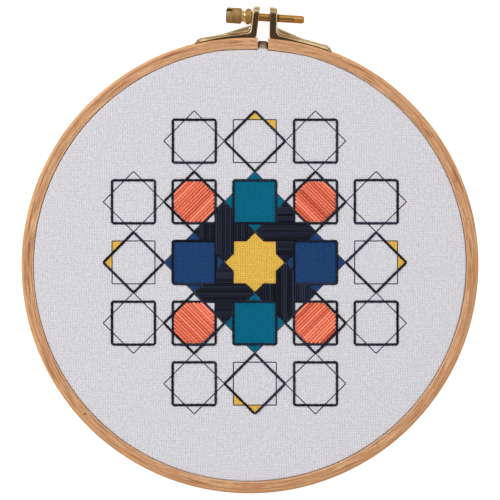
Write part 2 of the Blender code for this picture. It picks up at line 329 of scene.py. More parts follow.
def beech_finish(name, pale, brown, streak, fleck):
    """Fibres between brown and pale, growth rings and flecks over them, all along the strip."""
    finish, shader, add = start_finish(name, {"Coat Weight": 0.12, "Coat Roughness": 0.35})
    strip = add("Attribute", out=1, attribute_name="strip")
    _, across, depth = add("SeparateXYZ", (strip,)).node.outputs
    noises = []
    for scale, detail, rough in GRAIN_NOISES:
        scaled = add("Mapping", {0: strip, 3: scale})
        noises.append(add("TexNoise", (scaled, 1.0, detail, rough)))
    fibres, drift, spots, blotches = noises

    slant = add(TIMES_PLUS, (depth, 0.3, across))
    shifted = add(TIMES_PLUS, (drift, 7.0, slant))
    phase = add(TIMES, (shifted, RING_WAVE))
    ring_wave = add("Math SINE", (phase,))
    late_wood = add(SMOOTH, (ring_wave, 0.6, 1.0, 0.0, 0.9))
    broken = add(SMOOTH, (fibres, 0.6, 0.4, 0.0, 1.0))
    streaks = add(TIMES, (late_wood, broken))
    body = add(SMOOTH, (fibres, 0.36, 0.64, 0.0, 1.0))
    flecks = add(SMOOTH, (spots, 0.56, 0.7, 0.0, 0.6))
    warmth = add(SMOOTH, (blotches, 0.35, 0.7, 0.0, 0.35))
    colour = brown
    for share, over in ((body, pale), (streaks, streak), (flecks, fleck), (warmth, fleck)):
        colour = add(BLEND, (share, colour, over))
    roughness = add(SMOOTH, (fibres, 0.3, 0.7, 0.5, 0.36))
    relief = add("Bump", {"Height": fibres, "Distance": 0.06 * MM, "Strength": 0.5})
    fill(shader, {"Base Color": colour, "Roughness": roughness, "Normal": relief})
    return finish, shader, add, colour, across


# %% Varnished beech, with a painted shade line, an orange rim and a painted highlight by the bore
SHADE_LINE_R = 103.6  # where the flat front turns into the rounded rim
VARNISHED = "dfb186", "b8875c", "7c4e30", "ae6c3e"
beech, shader, add, colour, across = beech_finish("satin_beech", *VARNISHED)
off_shade_line = add(MINUS, (across, SHADE_LINE_R))
off_shade_line = add("Math ABSOLUTE", (off_shade_line,))
# The dark band where the flat front turns into the rounded rim is painted shade. The pale band next
# to the bore is a painted highlight on the inner edge.
bands = [  # a number, where its band starts and is full, the band's share, colour
    (off_shade_line, 0.5, 0.1, 0.35, "8a5a38"),
    (across, 103.9, 104.6, 0.45, "dc9c5e"),
    (across, 100.9, 100.3, 0.35, "e6bf98"),
]
for number, start, full, share, code in bands:
    band = add(SMOOTH, (number, start, full, 0.0, share))
    colour = add(BLEND, (band, colour, code))

# %% A few marks on its front
MARKS = [  # angle from the screw, radius, length, width, tilt from the grain, share, colour
    (135.6, 102.65, 1.9, 0.7, 84, 0.9, "3c2214"),
    (-141.0, 101.3, 1.5, 0.7, 40, 0.65, "4a2c1a"),
    (-63.4, 102.6, 7.0, 1.4, 3, 0.55, "b05a28"),
    (61.0, 102.0, 9.0, 0.8, 1, 0.4, "8a5230"),
    (-12.0, 101.6, 8.0, 0.8, 2, 0.35, "8a5230"),
    (171.0, 103.0, 10.0, 0.8, 1, 0.35, "8a5230"),
]
MARK_DEPTH = 4.0
place = add("TexCoord", out=3)
for angle, radius, length, width, tilt, share, code in MARKS:
    around = radians(90 + angle)
    spot = (radius * cos(around) * MM, (radius * sin(around) + HOOP_Y) * MM, RING_DEPTH * MM)
    centred = add("VectorMath SUBTRACT", (place, spot))
    turned = add("VectorRotate", {0: centred, "Angle": -around - radians(90 + tilt)})
    scale = (2 / (length * MM), 2 / (width * MM), 1 / (MARK_DEPTH * MM))
    stretched = add("VectorMath MULTIPLY", (turned, scale))
    away = add("VectorMath LENGTH", (stretched,))
    mark = add(SMOOTH, (away, 1.15, 0.45, 0.0, share))
    colour = add(BLEND, (mark, colour, code))
fill(shader, {"Base Color": colour})

# %% Bare beech, which the light has not reached
pale_beech, *_ = beech_finish("unvarnished_beech", "dfb891", "cda177", "a87c55", "c0895c")

# %% [markdown]
# ## The two rings
#
# A ring is one section carried round a circle. The section is a rectangle with rounded corners:
# the outer front edge is the softest, where hands have rubbed it. The outer ring stops at the
# split under the screw. Its two sawn ends aren't square to the strip, so each end leans: the
# angle at which the ring stops depends on the radius, and that lean fades within a few
# millimetres. Under the brackets the wood is pressed in by half a millimetre. No hoop stays
# quite round: this one is a slight oval, and its ends are drawn in where the screw pulls them.

# %% A rounded section, carried round
OVAL = 0.13
OVAL_TURN = radians(48)
DRAWN_IN = 0.5


def corner_arc(centre_r, centre_z, radius, first, steps=5):
    """A quarter circle in the section's plane, from the angle first, in degrees."""
    angles = np.radians(first + 90 * np.arange(steps + 1) / steps)
    return np.stack([centre_r + radius * np.cos(angles), centre_z + radius * np.sin(angles)], -1)


def ring_section(r_in, r_out, depth, outer_front, inner_front, back, side_points=6):
    """Four corner arcs joined by straight sides, with points along the sides, as (radius, z)."""
    arcs = [
        corner_arc(r_out - outer_front, depth - outer_front, outer_front, 0),
        corner_arc(r_in + inner_front, depth - inner_front, inner_front, 90),
        corner_arc(r_in + back, back, back, 180),
        corner_arc(r_out - back, back, back, 270),
    ]
    shares = np.linspace(0, 1, side_points + 2)[1:-1, None]
    sides = [a[-1] + (b[0] - a[-1]) * shares for a, b in zip(arcs, arcs[1:] + arcs[:1])]
    return np.concatenate([part for pair in zip(arcs, sides) for part in pair])


def carry_round(r, z, angles):
    """Points at r and z turned to each angle, and the same places told along the strip."""
    r, z, angles = np.broadcast_arrays(r, z, angles)
    strip = np.stack([angles * MEAN_R, r, z], -1)
    return np.stack([r * np.cos(angles), r * np.sin(angles), z], -1), strip


def out_of_round(angles):
    """OVAL times the cosine of twice the angle from its long axis, less DRAWN_IN at the split."""
    from_split = np.abs((angles - pi / 2 + pi) % (2 * pi) - pi) * MEAN_R
    near = ramp((24 - from_split) / 16)
    return OVAL * np.cos(2 * (angles - OVAL_TURN)) - DRAWN_IN * near**2 * (3 - 2 * near)


# %% The outer ring
RING_ROWS = 720
END_R = 103.5
LEFT_END_X, RIGHT_END_X = -2.70, 2.10  # x of each sawn end at END_R
END_LEAN = -0.06  # its change for each mm of radius
LEAN_REACH = 5.0
FOOT_END_X = 32.2
FOOT_PRESS = 0.5

section_r, section_z = ring_section(BORE_R, RING_R, RING_DEPTH, 1.4, 0.3, 0.7).T
lean = END_LEAN * (section_r - END_R)
left_stop = pi / 2 + np.arcsin(-(LEFT_END_X + lean) / section_r)
right_stop = 5 * pi / 2 - np.arcsin((RIGHT_END_X + lean) / section_r)
first, last = left_stop.mean(), right_stop.mean()
even = first + (last - first) * np.linspace(0, 1, RING_ROWS)[:, None]
to_left = (1 - ramp((even - first) * MEAN_R / LEAN_REACH)) ** 2
to_right = (1 - ramp((last - even) * MEAN_R / LEAN_REACH)) ** 2
ring_angles = even + to_left * (left_stop - first) + to_right * (right_stop - last)

wander = 0.08 + 0.03 * np.sin(ring_angles * 5 + 1) + 0.02 * np.sin(ring_angles * 13)
across_ring = np.abs(section_r * np.cos(ring_angles))
under_foot = ramp((FOOT_END_X + 0.2 - across_ring) / 0.9) * (np.sin(ring_angles) > 0)
ring_r = section_r + wander + out_of_round(ring_angles)
ring_r = np.minimum(ring_r, RING_R + 0.4 - (0.4 + FOOT_PRESS) * under_foot)
points, strip = carry_round(ring_r, section_z, ring_angles)
faces = tube_faces(*ring_angles.shape, flip=-1)
outer_ring = make_piece("beech_outer_ring", points, faces, beech, "beech", sharp=50, strip=strip)
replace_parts(outer_ring, "outer_ring")

# %% The inner ring
INNER_RING_R = 98.4
INNER_WALL = 4.4
INNER_DEPTH = 8.1
section = ring_section(INNER_RING_R - INNER_WALL, INNER_RING_R, INNER_DEPTH, 0.5, 0.8, 0.6)
section_r, section_z = section.T
inner_angles = (pi / 2 + 2 * pi * np.arange(RING_ROWS) / RING_ROWS)[:, None]
points, strip = carry_round(section_r + out_of_round(inner_angles), section_z, inner_angles)
faces = [grid_faces(*points.shape[:2], closed_rows=True, closed_columns=True)[:, ::-1]]
inner_ring = make_piece("beech_inner_ring", points, faces, pale_beech, "pale_beech", strip=strip)
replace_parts(inner_ring, "inner_ring")

# %% [markdown]
# ## Evenweave cotton
#
# The ground is an evenweave: threads of one thickness, about one each millimetre both ways. The
# eye sees a fine grid of darker lines between the threads, darkest in the small hole where four
# of them meet, and threads that are a little uneven. The cloth was clamped a little askew, so
# the weave turns by five degrees. Two cosine waves at right angles draw it, read from Object
# coordinates. Printed areas are the same cloth with ink in it, so the same function makes them.

# %% The weave
WARP_PITCH = 1.10
WEFT_PITCH = 0.985
WEAVE_TURN = radians(-5.0)


def evenweave_finish(name, thread_colour, gap_colour, contrast, sheen):
    """Share of shade: each family's gaps, their crossings, and a slow noise along each thread."""
    soft = {"Roughness": 0.9, "Specular IOR Level": 0.15, "Sheen Roughness": 0.5}
    finish, shader, add = start_finish(name, {**soft, "Sheen Weight": sheen})
    place = add("TexCoord", out=3)
    turned = add("VectorRotate", {0: place, "Angle": WEAVE_TURN})
    wobble = add("TexNoise", (turned, 120.0, 1.0), out=1)
    centred = add("VectorMath SUBTRACT", (wobble, (0.5, 0.5, 0.5)))
    nudge = add("VectorMath SCALE", (centred, 0.5 * MM))
    moved = add("VectorMath ADD", (turned, nudge))
    x, y, _ = add("SeparateXYZ", (moved,)).node.outputs
    humps, gaps, tones = [], [], []
    for along, pitch, stretch in ((x, WARP_PITCH, (1500, 600, 1)), (y, WEFT_PITCH, (600, 1600, 1))):
        phase = add(TIMES, (along, pi / (pitch * MM)))
        wave = add("Math COSINE", (phase,))
        humps.append(add("Math ABSOLUTE", (wave,)))
        gaps.append(add(SMOOTH, (humps[-1], 0.75, 0.1, 0.0, 1.0)))
        scaled = add("Mapping", {0: turned, 3: stretch})
        tones.append(add("TexNoise", (scaled, 1.0, 1.0)))
    slub = add(PLUS, tones)
    uneven = add(SMOOTH, (slub, 0.75, 1.25, 0.6, 0.0))
    lines = add(PLUS, gaps)
    holes = add(TIMES, gaps)
    dark = add(TIMES_PLUS, (lines, 0.45, uneven))
    dark = add(TIMES_PLUS, (holes, 0.5, dark))
    dark = add(TIMES, (dark, contrast))
    colour = add(BLEND, (dark, thread_colour, gap_colour))
    cover = add("Math MAXIMUM", humps)
    weave_height = add(TIMES_PLUS, (slub, 0.3, cover))
    relief = add("Bump", {"Height": weave_height, "Distance": 0.14 * MM, "Strength": 0.5})
    fill(shader, {"Base Color": colour, "Normal": relief})
    return finish, shader, add, colour


# %% White cotton, with painted shade towards its hem in the split
WHITE = "dddce0", "8f8e96", 0.36, 0.05
cotton, shader, add, colour = evenweave_finish("white_evenweave_cotton", *WHITE)
hem = add("Attribute", out=2, attribute_name="hem")
for start, full, brown in ((0.0, 0.5, "b3a294"), (0.5, 1.0, "6b5343")):
    share = add("MapRange", (hem, start, full, 0.0, 1.0))
    colour = add(BLEND, (share, colour, brown))
fill(shader, {"Base Color": colour})

# %% [markdown]
# ## The cloth
#
# The cloth is one sheet: flat over the hoop, bent over the inner ring's edge and turned down
# between the rings. At the split nothing presses on it, so it bulges out there and its hem shows.
# There it carries painted shade: tan where the bulge falls away, dark brown at its foot and sides.
# Stitches pull a taut cloth into very shallow waves, about a tenth of a millimetre high, and the
# prints and stitches must follow them. So one function gives the cloth's height, and all of them
# use it. The sheet itself is a grid of rows, from the centre out to the hem, and of columns round
# the hoop, which stand closer together in the split.


# %% The height of the cloth
def cloth_height(x, y):
    """Three slow waves a few hundredths of a millimetre high, which die out at the rim."""
    waves = 0.05 * np.sin(x / 15 + 0.6) * np.cos(y / 19) + 0.04 * np.sin((x - y) / 9 + 1)
    waves = waves + 0.03 * np.sin((x + 2 * y) / 13)
    calm = ramp((96 - np.hypot(x, y)) / 20)
    return CLOTH_TOP - 0.05 + waves * calm


# %% The columns, and how far each bulges
SPLIT_MIDDLE_X = -0.3
BULGE_HALF_WIDTH = 2.6
split_middle = pi / 2 - SPLIT_MIDDLE_X / CLOTH_R
bulge_reach = asin(BULGE_HALF_WIDTH / CLOTH_R)
even = split_middle + np.linspace(bulge_reach, 2 * pi - bulge_reach, 476)
in_split = split_middle + bulge_reach * np.linspace(-1, 1, 26)[1:-1]
cloth_angles = np.concatenate([in_split, even])
off_middle = np.abs((cloth_angles - split_middle + pi) % (2 * pi) - pi)
off_middle = np.minimum(off_middle / bulge_reach, 1)[None, :]

# %% The rows: flat, bend and skirt
CLOTH_THICKNESS = 0.55
BEND_R = 0.8
HEM_Z = 0.8
SKIRT_R = CLOTH_R + 0.1
SKIRT_ROWS = 14
ARCH_BULGE, HEM_BULGE = 2.2, 4.5

flat_r = np.concatenate([[0.0], np.linspace(1.5, CLOTH_R - BEND_R, 60)])
bend = np.linspace(0, pi / 2, 8)[1:]
down = np.linspace(0, 1, SKIRT_ROWS + 1)[1:]
bend_r = CLOTH_R - BEND_R + BEND_R * np.sin(bend)
skirt_r = CLOTH_R + (SKIRT_R - CLOTH_R) * np.minimum(down * 3, 1)
skirt_z = CLOTH_TOP - BEND_R + (HEM_Z - CLOTH_TOP + BEND_R) * down
row_r, row_drop, row_down, row_share = (
    np.concatenate(parts)[:, None]
    for parts in (
        (flat_r, bend_r, skirt_r),
        (flat_r * 0, BEND_R * (np.cos(bend) - 1), skirt_z - CLOTH_TOP),
        (flat_r * 0, bend * 0, down),
        (flat_r * 0, np.sin(bend) ** 2, down * 0 + 1),
    )
)

# %% The sheet: the bulge is half an ellipse at the bend and nearly square at the hem
squareness = 2 + 8 * row_down
bulge_height = ARCH_BULGE + (HEM_BULGE - ARCH_BULGE) * row_down**0.6
bulge = bulge_height * row_share * np.sqrt(1 - off_middle**squareness)
radius = row_r + bulge + out_of_round(cloth_angles) * ramp((row_r - 85) / 12)
x, y = radius * np.cos(cloth_angles), radius * np.sin(cloth_angles)
z = np.where(row_down > 0, CLOTH_TOP, cloth_height(x, y)) + row_drop
# Painted shade on the cloth in the split, by radius: tan where the bulge falls away and dark brown
# at its foot. Its sides next to the wood ends get darker still.
SPLIT_SHADE_R = [99.5, 99.8, 100.2, 100.6, 101.1, 101.6, 102.0, 102.4]
hem_tone = np.interp(radius, SPLIT_SHADE_R, [0, 0.1, 0.6, 0.8, 0.82, 0.72, 0.8, 1])
hem_tone = np.where(off_middle < 1, hem_tone + 1.2 * off_middle**4 * row_share, 0)
print("cloth rows and columns:", z.shape)

# %% The sheet's piece: the points of its centre are merged, then it gets its under side
points = np.stack([x, y, z], -1)
faces = [grid_faces(*z.shape, closed_columns=True)[:, ::-1]]
cloth = make_piece("cotton_cloth", points, faces, cotton, "cotton", hem=np.minimum(hem_tone, 1))
merge = cloth.modifiers.new("merge", "WELD")
merge.merge_threshold = 0.001 * MM
wall = cloth.modifiers.new("thickness", "SOLIDIFY")
wall.thickness = CLOTH_THICKNESS * MM
wall.offset = -1
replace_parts(cloth, "cloth")

# %% [markdown]
# ## The pattern
#
# Stars and crosses are an old pattern for tiles and cloth. Each star is two squares, one turned
# by 45 degrees. The stars stand on a square grid and touch at their tips, and the spaces between
# four of them are crosses. Every line of the pattern is a side of one of those squares.

# %% Where the stars are
PITCH = 28.0
TIP_R = PITCH / 2
SIDE = TIP_R / sqrt(2)
NOTCH = TIP_R - SIDE  # half the part of a side that lies inside the other square
DESIGN_TURN = radians(3.53)
DESIGN_SHIFT = (2.2, 1.3)

stars = [(i, j) for i in range(-2, 3) for j in range(-2, 3) if abs(i * j) < 4]
print("stars:", len(stars))


def place_design(u, v, rise=0.0):
    """Pattern coordinates become hoop coordinates: a turn, a shift, and the cloth's height."""
    x = DESIGN_SHIFT[0] + u * cos(DESIGN_TURN) - v * sin(DESIGN_TURN)
    y = DESIGN_SHIFT[1] + u * sin(DESIGN_TURN) + v * cos(DESIGN_TURN)
    return np.stack([x, y, cloth_height(x, y) + rise], -1)


# %% [markdown]
# ## Printed areas and lines
#
# Some of the stars are printed in flat colour, and thin violet-grey lines are the guide print
# that the stitches follow. Ink has no thickness, but a film a few hundredths of a millimetre
# high gives it a crisp edge at any distance. Each film is a closed slab whose lower side is
# inside the cloth.

# %% Inks
INK_COLOURS = {  # name: threads, gaps
    "yellow": ("ebc054", "a87c28"),
    "blue": ("1f4574", "0f2347"),
    "teal": ("006a88", "03405a"),
    "grey": ("47424e", "2f2b35"),
}
inks = {
    ink: evenweave_finish(f"{ink}_ink_on_cotton", threads, gap, 0.5, 0.0)[0]
    for ink, (threads, gap) in INK_COLOURS.items()
}
FILM_TOP = 0.035
FILM_BOTTOM = -0.15


# %% Printed stars
def print_star(name, i, j, ink):
    """At each angle a star reaches to the farther of its two squares. The slab's rows are that
    outline at growing shares, from nearly nought so that it needs no pole, and back below."""
    angle = 2 * pi * np.arange(160) / 160
    turned = angle + pi / 4
    to_square = 1 / np.maximum(np.abs(np.cos(angle)), np.abs(np.sin(angle)))
    to_diamond = 1 / np.maximum(np.abs(np.cos(turned)), np.abs(np.sin(turned)))
    r = np.maximum(to_square, to_diamond) * SIDE * np.linspace(0.001, 1, 9)[:, None]
    u, v = i * PITCH + r * np.cos(angle), j * PITCH + r * np.sin(angle)
    top, bottom = (place_design(u, v, rise) for rise in (FILM_TOP, FILM_BOTTOM))
    points = np.concatenate([top, bottom[::-1]])
    faces = grid_faces(*points.shape[:2], closed_rows=True, closed_columns=True)[:, ::-1]
    return make_piece(name, points, [faces], inks[ink], "cotton", sharp=30)


PRINTED_STARS = {"centre": (0, 0, "yellow"), "left": (-1, 0, "blue"), "right": (1, 0, "blue")}
PRINTED_STARS |= {"up": (0, 1, "teal"), "down": (0, -1, "teal")}
films = [print_star(f"printed_star_{side}", *star) for side, star in PRINTED_STARS.items()]


# %% Printed tips of the outer stars: each is two edges of a square that meet at TIP_R
TIPS = [(2, 0, 0), (2, 0, 1), (-2, 0, 4), (-2, 0, 3), (0, 2, 2), (0, 2, 1), (0, -2, 6), (0, -2, 5)]
i, j, eighth = np.array(TIPS).T[:, :, None, None]  # the star, and the tip's direction
turn = eighth * pi / 4
share = np.linspace(0, 1, 5)[:, None] * (1, 0.999)
off, side = SIDE + NOTCH * share, NOTCH * (1 - share) * (-1, 1)
u = i * PITCH + off * np.cos(turn) - side * np.sin(turn)
v = j * PITCH + off * np.sin(turn) + side * np.cos(turn)
top, bottom = (place_design(u, v, rise) for rise in (FILM_TOP, FILM_BOTTOM))
points = np.concatenate([top, bottom[:, :, ::-1]], 2)
faces = tube_faces(*points.shape[1:3], len(TIPS), flip=-1)
films.append(make_piece("printed_tips", points, faces, inks["yellow"], "cotton", sharp=30))

# %% [markdown]
# ## Sides of the squares
#
# A thin printed line and a laid thread both run along one side of a square. A side is stored as
# three numbers: the star's centre and the direction in which the side faces. Points on it are
# then given by how far along it they are, how far outside it and how high above the cloth.


# %% Points along many sides at once
def sides_of(places, turn):
    """The four sides of the square on each star, as rows of (centre u, centre v, facing)."""
    centres = np.repeat(np.array(places, float) * PITCH, 4, 0)
    facing = np.tile(turn + pi / 2 * np.arange(4), len(places))
    return np.column_stack([centres, facing])


def along_sides(sides, s, off, rise):
    """Centre, plus (half side + off) in the facing direction, plus s at right angles to it."""
    u0, v0, facing = (sides[:, k, None, None] for k in range(3))
    reach = SIDE + off
    u = u0 + reach * np.cos(facing) - s * np.sin(facing)
    v = v0 + reach * np.sin(facing) + s * np.cos(facing)
    return place_design(u, v, rise)


# Steps to the middle star both ways, the smaller first, tell what a star is.
STAR_PLACES, DIAMOND_PLACES, FILLED_PLACES, OPEN_SQUARE_PLACES = (
    [(i, j) for i, j in stars if sorted((abs(i), abs(j))) == steps]
    for steps in ([1, 1], [0, 2], [0, 1], [1, 2])
)
SQUARE_PLACES = [place for place in stars if place in FILLED_PLACES + OPEN_SQUARE_PLACES]

# %% Thin printed lines, where no thread is laid
LINE_WIDTH = 0.5
LINE_STEPS = 9

whole_sides = np.concatenate([sides_of(DIAMOND_PLACES, 0.0), sides_of(OPEN_SQUARE_PLACES, pi / 4)])
filled_sides = [(FILLED_PLACES, pi / 4), ([(0, 0)], 0.0), ([(0, 0)], pi / 4)]
filled_sides = np.concatenate([sides_of(places, turn) for places, turn in filled_sides])
lined = np.concatenate([whole_sides, filled_sides, filled_sides])
counts = [len(whole_sides), len(filled_sides), len(filled_sides)]
starts = np.repeat([-SIDE, -SIDE, NOTCH], counts)[:, None, None]
stops = np.repeat([SIDE, -NOTCH, SIDE], counts)[:, None, None]
s = starts + (stops - starts) * np.linspace(0, 1, LINE_STEPS)[None, :, None]
off = np.array([-1, -1, 1, 1]) * LINE_WIDTH / 2
rise = np.array([FILM_BOTTOM, FILM_TOP, FILM_TOP, FILM_BOTTOM]) + 0.01
faces = tube_faces(LINE_STEPS, len(off), len(lined))
points = along_sides(lined, s, off, rise)
films.append(make_piece("printed_lines", points, faces, inks["grey"], "cotton", sharp=30))

# %% [markdown]
# ## Embroidery floss
#
# Floss is mercerised cotton: six soft strands with a slight gloss, twisted together. Two things
# give it its tones: its round top is lit while its sides sink into dark grooves, and the twist
# crosses it with slanting ridges. Every thread carries three numbers at each point: how far
# along it is in millimetres, how far round as a share of a turn, and a tone of its own, because
# light falls on each stitch a little differently.


# %% Floss
FLOSS_LAY = 2.2  # mm of thread to a turn of its ridges
RIDGE_SHARE = 0.05


def floss_finish(name, groove, middle, light, gloss):
    """Lit by (top of the thread) + RIDGE_SHARE x (sine of the turns along and round) + own tone."""
    soft = {"Roughness": 0.6, "Sheen Roughness": 0.4}
    gleam = {"Sheen Weight": gloss / 4, "Specular IOR Level": gloss}
    finish, shader, add = start_finish(name, soft | gleam)
    thread = add("Attribute", out=1, attribute_name="thread")
    along, around, tone = add("SeparateXYZ", (thread,)).node.outputs
    turns = add(TIMES_PLUS, (along, 1 / FLOSS_LAY, around))
    waves = []
    for number, times, wave in ((turns, 1, "SINE"), (turns, 3, "SINE"), (around, 1, "COSINE")):
        phase = add(TIMES, (number, times * 2 * pi))
        waves.append(add("Math " + wave, (phase,)))
    ridge, strand, under = waves
    lit = add(MINUS, (tone, under))
    lit = add(TIMES_PLUS, (ridge, RIDGE_SHARE, lit))
    mid_share = add(SMOOTH, (lit, 0.35, 0.82, 0.0, 1.0))
    light_share = add(SMOOTH, (lit, 0.75, 1.2, 0.0, 0.9))
    colour = groove
    for share, over in ((mid_share, middle), (light_share, light)):
        colour = add(BLEND, (share, colour, over))
    thread_height = add(TIMES_PLUS, (strand, 0.5, ridge))
    relief = add("Bump", {"Height": thread_height, "Distance": 0.01 * MM, "Strength": 0.4})
    fill(shader, {"Base Color": colour, "Normal": relief})
    return finish


FLOSS = {
    "navy": floss_finish("navy_cotton_floss", "07080f", "131621", "292d3f", 0.12),
    "coral": floss_finish("coral_cotton_floss", "96301f", "df6848", "fb8f70", 0.3),
}

# %% [markdown]
# ## Laid threads
#
# The thick outlines are whole floss laid in one long stitch along each side of a square. Both
# ends go down through the cloth, so a thread is a tube that narrows and sinks at its ends. Where
# the second square of a star crosses the first, its threads ride up over the ones below.

# %% Tubes for the laid threads
THREAD_HALF_WIDTH = 0.56
THREAD_HALF_HEIGHT = 0.31
THREAD_ROWS = 42
THREAD_COLUMNS = 12
END_LENGTH = 1.1
TWIST_LAY = 3.4
OVER_LIFT = 0.5
chance = np.random.default_rng(7)


def tube_turns(columns):
    """Angles round a tube that start at its under side, where a seam is hidden."""
    return pi + 2 * pi * np.arange(columns) / columns


def floss_piece(name, points, along, turn, tone, colour):
    """Points by tube, row and column. Round is told as a share of a turn from the under side."""
    numbers = [np.broadcast_to(a, points.shape[:3]) for a in (along, (turn - pi) / (2 * pi), tone)]
    faces = tube_faces(*points.shape[1:3], len(points))
    thread = np.stack(numbers, -1)
    return make_piece(name, points, faces, FLOSS[colour], f"{colour}_floss", thread=thread)


def lay_threads(name, sides, nodes, over=0.0):
    """Two bundles wound round each other make the tube's radius swell and shrink as it turns."""
    count = len(sides)
    s = np.linspace(-SIDE, SIDE, THREAD_ROWS)[None, :, None]
    turn = tube_turns(THREAD_COLUMNS)
    in_end = 1 - (SIDE + 0.2 - np.abs(s)) / END_LENGTH
    width = np.sqrt(1 - np.clip(in_end, 0, 0.98) ** 2)
    start = chance.uniform(0, 1, (count, 1, 1))
    bundle = 1 + 0.08 * np.cos(2 * turn - 2 * pi * (s / TWIST_LAY + start))
    bow = chance.normal(0, 0.06, (count, 1, 1)) * (1 - (s / SIDE) ** 2)
    off = THREAD_HALF_WIDTH * width * bundle * np.sin(turn) + bow
    lift = OVER_LIFT * over * np.exp(-((np.abs(s) - NOTCH) ** 2))
    rise = 0.22 - 0.3 * ramp(in_end) ** 2 + lift
    rise = rise + THREAD_HALF_HEIGHT * width * bundle * np.cos(turn)
    tone = chance.normal(0, 0.2, (count, 1, 1))
    points = along_sides(sides, s, off, rise)
    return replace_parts(floss_piece(name, points, s + start * 9, turn, tone, "navy"), *nodes)


star_sides = np.concatenate([sides_of(STAR_PLACES, 0.0), sides_of(STAR_PLACES, pi / 4)])
is_over = np.repeat([0.0, 1.0], 4 * len(STAR_PLACES))[:, None, None]
star_nodes = [f"thread_star_{n}" for n in range(1, 5)]
diamond_nodes = [f"thread_diamond_{n}" for n in range(1, 5)]
square_nodes = [f"thread_square_{n}" for n in range(1, 13)]
laid = [
    lay_threads("laid_threads_stars", star_sides, star_nodes, is_over),
    lay_threads("laid_threads_diamonds", sides_of(DIAMOND_PLACES, pi / 4), diamond_nodes),
    lay_threads("laid_threads_squares", sides_of(SQUARE_PLACES, 0.0), square_nodes),
]

# %% [markdown]
# ## Satin stitch
#
# Satin stitch fills a shape with straight stitches laid side by side, each from one edge to the
# other. Seen close, every stitch is its own rounded cord, and the edge of the shape is slightly
# ragged because no two stitches end on quite the same line.

# %% Half lengths of the stitches
CROSS_INSET = -0.15
OCTAGON_INSET = 0.5


def cross_half_length(s):
    """Half the length of a stitch at s across a pointed cross: long in the middle and at tips."""
    arm = NOTCH - CROSS_INSET
    tip = TIP_R - CROSS_INSET * sqrt(2)
    in_bar = (np.abs(s) > arm) & (np.abs(s) < tip - arm)
    return np.where(in_bar, arm, tip - np.abs(s))


def octagon_half_length(s):
    """Half the length of a stitch at s across the octagon inside a star."""
    side = SIDE - OCTAGON_INSET
    return np.minimum(side, side * sqrt(2) - np.abs(s))


# %% Stitches side by side
STITCH_ROWS = 12
STITCH_COLUMNS = 10


def satin_patch(colour, number, half_length, reach, pitch, centre, turn):
    """Tubes along the patch's Y, a pitch apart along its X, then turned and moved to its place."""
    count = round(2 * reach / pitch)
    pitch = 2 * reach / count
    place = (np.arange(count) + 0.5) * pitch - reach
    low, high = half_length(place) + chance.normal(0, 0.12, (2, count))
    place, low, high = (a[:, None, None] for a in (place, -low, high))
    share = np.linspace(-1, 1, STITCH_ROWS)[None, :, None]
    share = np.sign(share) * (1 - (1 - np.abs(share)) ** 1.6)
    angle = tube_turns(STITCH_COLUMNS)
    y = (low + high) / 2 + share * (high - low) / 2
    to_end = (1 - np.abs(share)) * (high - low) / 2
    width = np.sqrt(1 - np.clip(1 - to_end / 0.6, 0, 0.85) ** 2)
    lean = chance.normal(0, 0.005, (count, 1, 1))
    x = place + lean * y + 0.56 * pitch * width * np.sin(angle)
    dome = 0.12 * (1 - share**2) - 0.25 * ramp(1 - to_end / 0.7) ** 2
    rise = 0.26 + chance.normal(0, 0.03, (count, 1, 1)) + dome + 0.36 * width * np.cos(angle)
    u = centre[0] + x * cos(turn) - y * sin(turn)
    v = centre[1] + x * sin(turn) + y * cos(turn)
    tone = chance.normal(0, 0.16, (count, 1, 1))
    along = y + chance.uniform(0, 9, (count, 1, 1))
    name = f"satin_stitches_{colour}_{number}"
    piece = floss_piece(name, place_design(u, v, rise), along, angle, tone, colour)
    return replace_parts(piece, f"satin_{colour}_{number}")


# %% Navy crosses and coral octagons
NAVY_PITCH = 1.05
CORAL_PITCH = 1.25
CROSS_REACH = TIP_R - CROSS_INSET * sqrt(2) - 0.4
OCTAGON_REACH = SIDE - OCTAGON_INSET
for n, (i, j) in enumerate([(1, 1), (-1, 1), (-1, -1), (1, -1)], 1):
    cross_at, octagon_at = (i * PITCH / 2, j * PITCH / 2), (i * PITCH, j * PITCH)
    cross = cross_half_length, CROSS_REACH, NAVY_PITCH, cross_at, pi / 2 * (n % 2)
    octagon = octagon_half_length, OCTAGON_REACH, CORAL_PITCH, octagon_at, i * j * pi / 4
    laid += [satin_patch("navy", n, *cross), satin_patch("coral", n, *octagon)]

# %% [markdown]
# ## Metal as a distance field
#
# The brackets are stamped from brass sheet, so every corner is rounded and every part flows
# into the next. That is hard to model corner by corner, but easy to say as a distance: each
# point in space gets a number, negative inside the metal and positive outside. Joining two
# shapes is the smaller of two numbers, cutting is the larger, and rounding comes free if the
# change from one to the other is made gradual. The surface is then drawn where the number is
# nought, with one point in each little cell that the surface passes through. Each point then
# settles exactly on the surface.


# %% Joining and cutting fields
def smooth_max(a, b, rounding):
    """The larger of two, plus h squared over 4 roundings, where h is rounding less their gap."""
    h = np.maximum(rounding - np.abs(a - b), 0)
    return np.maximum(a, b) + h * h / (4 * rounding)


def smooth_min(a, b, rounding):
    """The smaller of two, rounded in the same way."""
    return -smooth_max(-a, -b, rounding)


